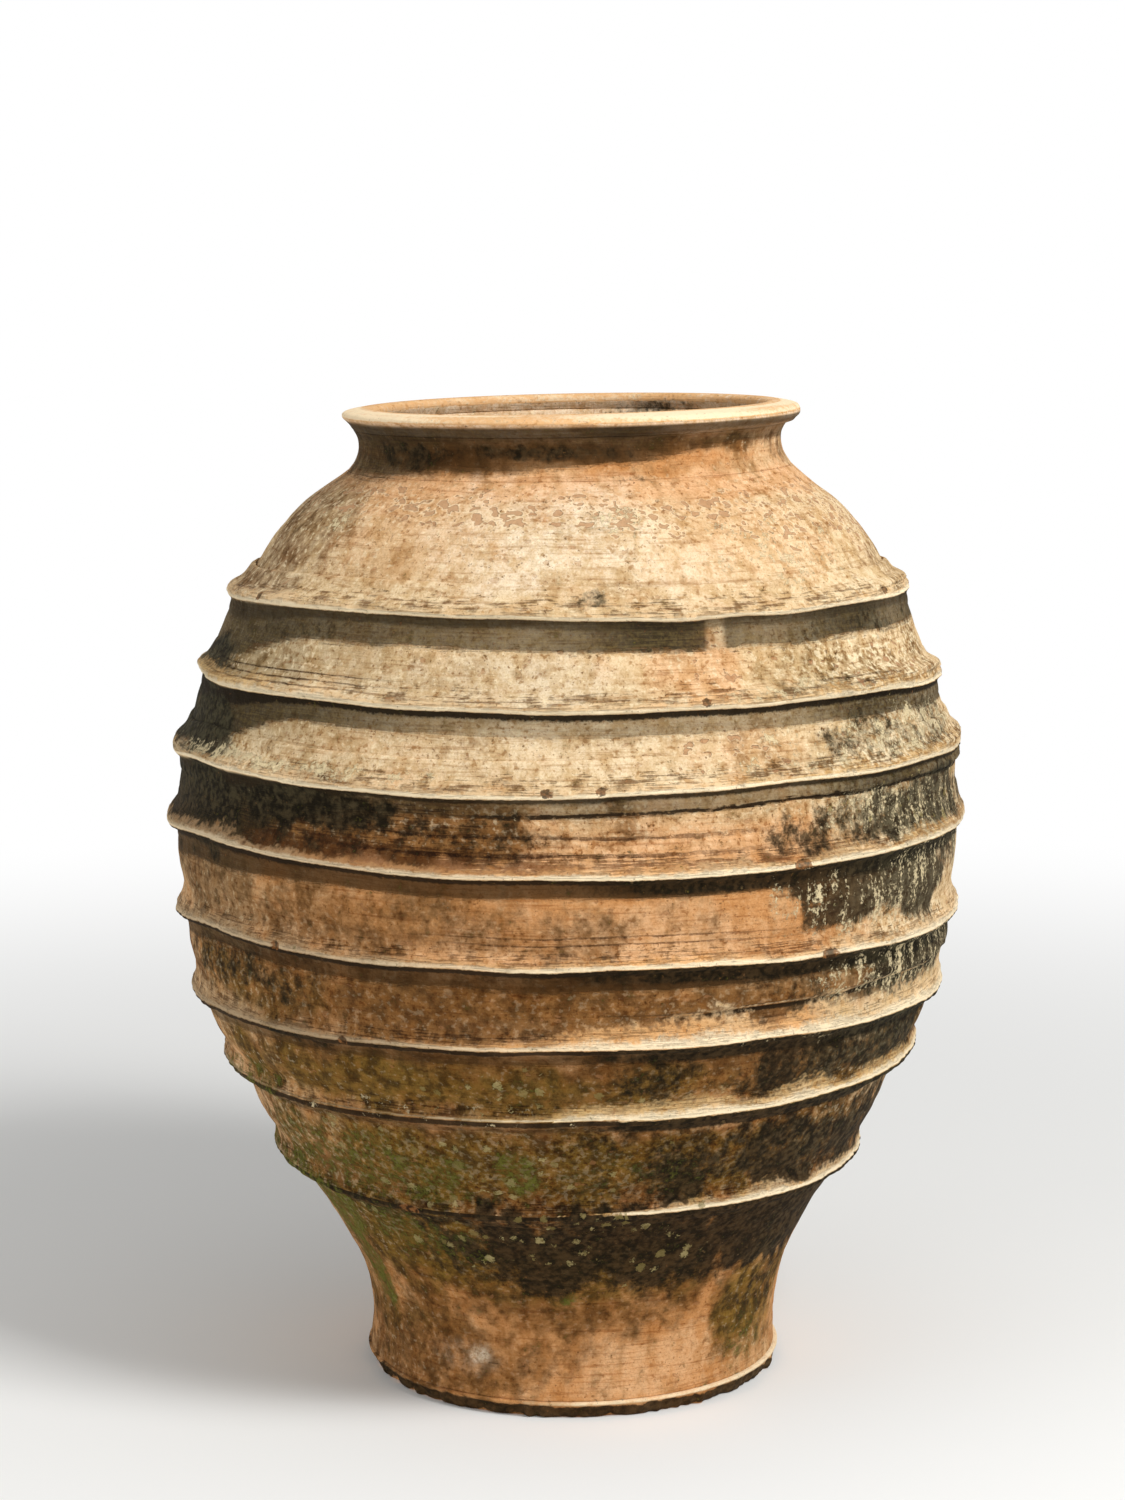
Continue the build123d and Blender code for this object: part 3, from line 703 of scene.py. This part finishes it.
def earthenware(name, fresh, buff_clay):
    """Coarse, unglazed red earthenware, fired unevenly: matte, sandy, lined by the potter's fingers."""
    material = bpy.data.materials.new(name)
    material.use_nodes = True
    tree = material.node_tree
    tree.nodes.clear()

    def mean(first, second):
        """Two patterns laid over each other."""
        both = add(tree, "Math", [first, second], operation="ADD")
        return add(tree, "Math", [both, 0.5], operation="MULTIPLY")

    def strayed(value, pattern, by):
        """A value that a pattern pushes up and down."""
        off = add(tree, "Math", [pattern, 0.5], operation="SUBTRACT")
        return add(tree, "Math", [off, by, value], operation="MULTIPLY_ADD")

    def shown(value, low, high, density=1.0):
        """A mask that comes in softly while a value passes from low to high, as dense as a mark says."""
        share = add(tree, "MapRange", {"Value": value, "From Min": low, "From Max": high},
                    interpolation_type="SMOOTHSTEP")
        return add(tree, "Math", [share, density], operation="MULTIPLY")

    def line_where(value, at, outer, inner, density):
        """A thin line where a value passes a height, from its soft outer edge to its dark middle."""
        off = add(tree, "Math", [value, at], operation="SUBTRACT")
        return shown(add(tree, "Math", [off], operation="ABSOLUTE"), outer, inner, density)

    def covered(pattern, density, softness=0.1):
        """A mask that covers as large a share of the surface as the density says, in a pattern."""
        # nearly all of a pattern's values lie between 0.3 and 0.7
        spread = add(tree, "MapRange", {"Value": pattern, "From Min": 0.3, "From Max": 0.7})
        both = add(tree, "Math", [spread, density], operation="ADD")
        return add(tree, "MapRange", {"Value": both, "From Min": 1 - softness, "From Max": 1 + softness},
                   interpolation_type="SMOOTHSTEP")

    def coat(under, over, mask, strength=1.0, blend="MIX"):
        """One colour over another where a mask says: a coat that hides it, or a glaze that darkens it."""
        dense = add(tree, "Math", [mask, strength], operation="MULTIPLY")
        return add(tree, "Mix", {0: dense, 6: under, 7: over}, data_type="RGBA", blend_type=blend)

    where = add(tree, "TexCoord").outputs["Object"]
    marks = {kind: add(tree, "Attribute", attribute_name=kind).outputs["Fac"] for kind in [*MARKS, *STORED]}
    patterns = {}
    for pattern, (size, detail, rough, flatter, start) in PATTERNS.items():
        place = add(tree, "Mapping", {"Vector": where, "Location": [start] * 3, "Scale": (1, 1, flatter)})
        patterns[pattern] = add(tree, "TexNoise", {"Vector": place, "Scale": 1000 / size, "Detail": detail,
                                                   "Roughness": rough})
    cloud, blotch, mottle, grains, fleck, sand, lines, scratches, runs, smudge, patch, pit, scales = (
        patterns.values())

    # the clay itself, from orange to buff, and a pinker orange where it was shielded in the kiln
    tone = strayed(strayed(marks["buff"], blotch, 1.2), mottle, 0.6)
    clay = coat(fresh, buff_clay, shown(tone, 0, 1))
    clay = coat(clay, "#E4D6C0", covered(cloud, 0.42, 0.4), 0.5, "MULTIPLY")
    shielded = covered(mean(blotch, mottle), marks["peach"], 0.5)
    clay = coat(clay, coat("#E2AB79", "#F3CB9F", mottle), shielded, 0.85)

    # grey where the surface has gone dead, umber where old damp has stained it and where shade is painted,
    # olive under old algae
    clay = coat(clay, coat("#B5A27F", "#8C7B5C", mottle), marks["grey"], 0.75)
    umber_and_shade_mask = covered(mean(blotch, mean(mottle, grains)), marks["umber_and_shade"], 0.5)
    clay = coat(clay, coat("#82582A", "#563917", shown(mottle, 0.3, 0.7)), umber_and_shade_mask, 0.9)
    algae = covered(mean(cloud, mottle), marks["olive"], 0.5)
    clay = coat(clay, coat("#7C661F", "#413810", shown(mottle, 0.33, 0.67)), algae, 0.62)
    # a pale bloom, partly a painted highlight on the shoulder, the lip and inside the neck
    clay = coat(clay, "#FAECD4", shown(mean(blotch, fleck), 0.3, 0.62, marks["bloom_and_highlight"]), 0.8)

    # coarse grain: smudges, grits and pale temper of 3 to 6 mm
    coarse = add(tree, "Math", [marks["rough"], 0.24, 0.06], operation="MULTIPLY_ADD")
    coarser = add(tree, "Math", [coarse, 0.06], operation="ADD")
    for tint, pattern, density, softness, strength in (
            ("#DCCAAA", smudge, 0.4, 0.3, 0.6), ("#D2BC98", mottle, 0.36, 0.25, 0.5),
            ("#BFA27A", grains, coarse, 0.14, 0.7), ("#A68760", fleck, coarse, 0.14, 0.7)):
        clay = coat(clay, tint, covered(pattern, density, softness), strength, "MULTIPLY")
    temper = covered(add(tree, "Math", [1.0, grains], operation="SUBTRACT"), coarser, 0.14)
    in_buff = add(tree, "Math", [marks["buff"], 0.5, 0.02], operation="MULTIPLY_ADD")
    clay = coat(clay, "#F6E4BE", temper, in_buff)

    # faint thrown lines, thin flaky ones, pairs of grooves, and a few pits
    clay = coat(clay, "#B8966C", covered(lines, 0.25, 0.2), 0.5, "MULTIPLY")
    fainter = add(tree, "Math", [mottle, 0.6, 0.2], operation="MULTIPLY_ADD")
    flaky = covered(mean(scratches, fainter), marks["layered"])
    clay = coat(clay, "#76532F", flaky, 0.7, "MULTIPLY")
    beside = strayed(marks["groove"], mean(mottle, lines), 0.9)
    beside = add(tree, "Math", [beside, 0.5], operation="SUBTRACT")
    beside = add(tree, "Math", [beside], operation="ABSOLUTE")
    grooves = line_where(beside, 0.5, 0.17, 0.06, shown(fleck, 0.25, 0.5, marks["grooved"]))
    clay = coat(clay, "#5A3A1E", shown(mottle, 0.3, 0.55, grooves), 0.9, "MULTIPLY")
    pitted = add(tree, "Math", [marks["rough"], 0.1, -0.06], operation="MULTIPLY_ADD")
    clay = coat(clay, "#6A4A2C", covered(pit, pitted, 0.05), 0.75, "MULTIPLY")
    clay = coat(clay, "#DFD1BC", shown(sand, 0.42, 0.66), 0.5, "MULTIPLY")

    # where it has spalled, the inner clay shows pinkish brown in flakes 10 mm across with raised rims, pale
    # from what is left of the crust and from a painted highlight
    flaked = add(tree, "Math", [marks["flakes"], 0.5], operation="MULTIPLY")
    raised = add(tree, "Math", [marks["flakes"], 0.66, 0.04], operation="MULTIPLY_ADD")
    spall = covered(scales, flaked, 0.04)
    crust_rim_and_highlight = add(tree, "Math", [covered(scales, raised, 0.06), marks["flakes"]], operation="MULTIPLY")
    clay = coat(clay, "#F3D9B0", crust_rim_and_highlight, 0.9)
    clay = coat(clay, coat("#C08A5E", "#8C5E3A", fleck), spall, 0.7)

    # dust and soot cling in the lee of each ledge, with painted shadow, down to a ragged edge with a thin
    # dark line; the crevice under the edge is dirt and painted shade
    ragged = strayed(marks["below"], mean(mottle, lines), 0.9)
    dust_and_shadow_strip = shown(ragged, 1.05, 0.9, shown(marks["below"], 0.02, 0.1, marks["lee_dust_and_shadow"]))
    soot_and_shade = coat(coat("#4C3216", "#2B1B09", mean(fleck, mottle)),
                coat("#564829", "#2B2317", shown(mean(fleck, scratches), 0.36, 0.6)),
                shown(marks["buff"], 0.2, 0.6))
    clay = coat(clay, coat(soot_and_shade, "#211A0E", marks["grime_and_shade"], 0.75), dust_and_shadow_strip, 0.92)
    rim = line_where(ragged, 1.0, 0.09, 0.02, marks["lee_dust_and_shadow"])
    clay = coat(clay, "#4F371D", shown(mottle, 0.4, 0.6, rim), 0.8)
    crack = line_where(ragged, 1.0, 0.15, 0.07, shown(mottle, 0.3, 0.45, marks["split"]))
    clay = coat(clay, "#23170B", crack, 0.92)
    deep = strayed(marks["below"], mean(mottle, fleck), 0.5)
    crevice_dirt_and_shade_mask = shown(deep, 0.42, 0.3, shown(marks["below"], 0.0, 0.08, marks["crevice_dirt_and_shade"]))
    clay = coat(clay, "#1C140A", crevice_dirt_and_shade_mask, 0.94)

    # a black-olive film, in blotches, and in runs where the rain drips off the ledges; on the far left and
    # on the neck it is partly painted shade
    blotchy = add(tree, "Mix", {0: marks["drips"], 2: mean(blotch, mottle), 3: mean(runs, mottle)})
    speckle = add(tree, "Math", [fleck, 0.5, 0.25], operation="MULTIPLY_ADD")
    film = covered(mean(blotchy, speckle), marks["grime_and_shade"], 0.22)
    film_colour = coat(coat("#402E19", "#45402D", marks["buff"]), "#191409",
                       shown(mean(grains, mottle), 0.38, 0.6))
    clay = coat(clay, film_colour, film, 0.93)

    # lime has bloomed out of the clay in cream specks
    washed = add(tree, "Math", [1.0, runs], operation="SUBTRACT")
    streaks = add(tree, "Mix", {0: marks["drips"], 2: patch, 3: washed})
    bloom = covered(mean(streaks, fleck), marks["lime"])
    clay = coat(clay, "#E2CFA4", bloom, 0.85)

    # rubbed ledges show pale, sandy clay, dull as painted shade on the left, with a painted highlight on
    # the very edge, and knocks show fresh orange clay
    rubbed_share = add(tree, "Math", [marks["worn"], 0.12], operation="SUBTRACT")
    rub = covered(mean(mottle, grains), rubbed_share, 0.28)
    rub_colour = coat("#8E7354", coat("#E2BB8B", "#F1D5A9", mottle), marks["edge_light"])
    for tint, mask, strength in (
            ("#BFA078", covered(fleck, coarser, 0.15), 0.6),
            ("#CDB48E", covered(grains, coarser, 0.15), 0.6), ("#A07C50", flaky, 0.45),
            ("#E2D49E", marks["olive"], 1.0), ("#FFDDB6", marks["peach"], 1.0)):
        rub_colour = coat(rub_colour, tint, mask, strength, "MULTIPLY")
    clay = coat(clay, rub_colour, rub, 0.88)
    clay = coat(clay, "#6A4A2A", grooves, 0.6, "MULTIPLY")
    # a painted highlight along the very edge of each rubbed ledge
    edge_highlight = shown(strayed(marks["worn"], mean(fleck, mottle), 0.9), 0.9, 1.2, marks["edge_light"])
    clay = coat(clay, "#FCEAC6", edge_highlight, 0.85)
    knocked = covered(fleck, marks["chip"], 0.2)
    clay = coat(clay, coat("#8E5E36", "#3A2614", shown(grains, 0.4, 0.6)), knocked, 0.85)

    # lichen grows in pale, ragged scabs of 3 to 9 mm
    swirl = add(tree, "TexNoise", {"Vector": where, "Scale": 1000 / 8}).outputs["Color"]
    bent = add(tree, "Mix", {0: 0.006, 4: where, 5: swirl}, data_type="VECTOR")
    scabs = add(tree, "TexVoronoi", {"Vector": bent, "Scale": 1000 / 13}).outputs
    lots = add(tree, "SeparateColor", [scabs["Color"]]).outputs
    grown = add(tree, "Math", [lots[0], marks["lichen"]], operation="LESS_THAN")
    reach = add(tree, "Math", [lots[1], 0.3, 0.1], operation="MULTIPLY_ADD")
    edge = add(tree, "Math", [strayed(scabs["Distance"], sand, 0.6), reach], operation="SUBTRACT")
    scab = shown(edge, 0.03, -0.03, grown)
    clay = coat(clay, coat("#7C6C3C", "#C2B17C", shown(fleck, 0.3, 0.6, lots[2])), scab, 0.66)

    # moss, yellow-green where it is young
    green = covered(mean(mottle, fleck), marks["moss"], 0.3)
    clay = coat(clay, coat("#383B10", "#6C6E2A", shown(mean(fleck, mottle), 0.38, 0.6)), green, 0.7)

    # relief: sand, grits, finger lines, flaky edges, and the thickness of what grows on it
    grits = add(tree, "Math", [grains, -0.5], operation="MULTIPLY")
    grits = add(tree, "Math", [fleck, 0.7, grits], operation="MULTIPLY_ADD")
    coarseness = add(tree, "Math", [marks["rough"], 0.5], operation="ADD")
    relief = add(tree, "Math", [grits, coarseness], operation="MULTIPLY")
    for part, thickness in (
            (sand, 0.25), (mottle, 0.8), (lines, 0.7), (flaky, -0.35), (spall, -0.7), (rim, -0.6),
            (grooves, -0.6), (scab, 0.4), (green, 0.4), (bloom, 0.4)):
        relief = add(tree, "Math", [part, thickness, relief], operation="MULTIPLY_ADD")
    bump = add(tree, "Bump", {"Height": relief, "Distance": 1.6 * MM, "Strength": 1.0})
    shader = add(tree, "BsdfPrincipled", {"Base Color": clay, "Roughness": 0.92, "IOR": 1.45,
                                          "Specular IOR Level": 0.12, "Normal": bump})
    add(tree, "OutputMaterial", {"Surface": shader})
    return material


body_clay = earthenware("Weathered red earthenware", "#D29A64", "#ECD4AC")
band_clay = earthenware("Rubbed red earthenware", "#D09C6A", "#ECD5AE")
for name, piece in pieces.items():
    piece.data.materials.append(band_clay if name.startswith("band") else body_clay)


# ---------------------------------------------------------------- stage

bpy.ops.object.select_all(action="DESELECT")
bpy.ops.mesh.primitive_plane_add(size=16)      # metres, far past the edges of the picture
floor = bpy.context.object
floor.name = "floor"
paper = bpy.data.materials.new("Pale floor")
paper.use_nodes = True
ground = paper.node_tree
ground.nodes.clear()
matt = add(ground, "BsdfDiffuse", {"Color": "#F4F4F2"})
# away from the jar the floor passes into the white behind it
place = add(ground, "TexCoord").outputs["Object"]
far = add(ground, "MapRange", {"Value": add(ground, "VectorMath", [place], operation="LENGTH"),
                               "From Min": 0.8, "From Max": 3.0}, interpolation_type="SMOOTHSTEP")
white = add(ground, "Emission", {"Color": "#FFFFFF", "Strength": 1.0})


def seen_as_background(tree):
    """1 for the rays that show the background: the camera's, and those mirrored or let through."""
    ray = add(tree, "LightPath").outputs
    shown = add(tree, "Math", [ray["Is Camera Ray"], ray["Is Glossy Ray"]], operation="MAXIMUM")
    return add(tree, "Math", [shown, ray["Is Transmission Ray"]], operation="MAXIMUM")


fade = add(ground, "Math", [far, seen_as_background(ground)], operation="MULTIPLY")
blend = add(ground, "MixShader", [fade, matt, white])
add(ground, "OutputMaterial", {"Surface": blend})
floor.data.materials.append(paper)

world = bpy.data.worlds.new("Studio")
bpy.context.scene.world = world
world.use_nodes = True
sky = world.node_tree
sky.nodes.clear()
fill = add(sky, "Background", {"Color": "#FFFFFF", "Strength": 0.46})
behind = add(sky, "Background", {"Color": "#FFFFFF", "Strength": 1.0})
both = add(sky, "MixShader", [seen_as_background(sky), fill, behind])
add(sky, "OutputWorld", {"Surface": both})


def lamp(name, place, size, watts):
    """A soft square light that points at the jar's middle."""
    bpy.ops.object.light_add(type="AREA", location=place)
    light = bpy.context.object
    light.name = name
    light.data.size = size
    light.data.energy = watts
    light.rotation_euler = (Vector((0, 0, 0.5)) - Vector(place)).to_track_quat("-Z", "Y").to_euler()


lamp("key", (2.0, -2.1, 3.4), 1.1, 128)
lamp("side fill", (-2.6, -1.6, 1.6), 2.2, 22)

# The camera stands where the photo was taken from: 3.2 m away and 1.1 m up. It looks down at 8.8 degrees
# through a long lens, and is turned and tilted a little, as it was held by hand.
EYE, LENS, TURNED, DOWN, TILTED = (0, -3.222, 1.109), 80.1, 0.12, 8.82, -0.27
bpy.ops.object.camera_add()
camera = bpy.context.object
camera.data.sensor_fit = "VERTICAL"
camera.data.sensor_height = 36
camera.data.lens = LENS
stand = Matrix.Translation(EYE)
for angle, axis in ((TURNED, "Z"), (90 - DOWN, "X"), (TILTED, "Z")):
    stand = stand @ Matrix.Rotation(math.radians(angle), 4, axis)
camera.matrix_world = stand
bpy.context.scene.camera = camera
bpy.context.scene.view_settings.view_transform = "Standard"
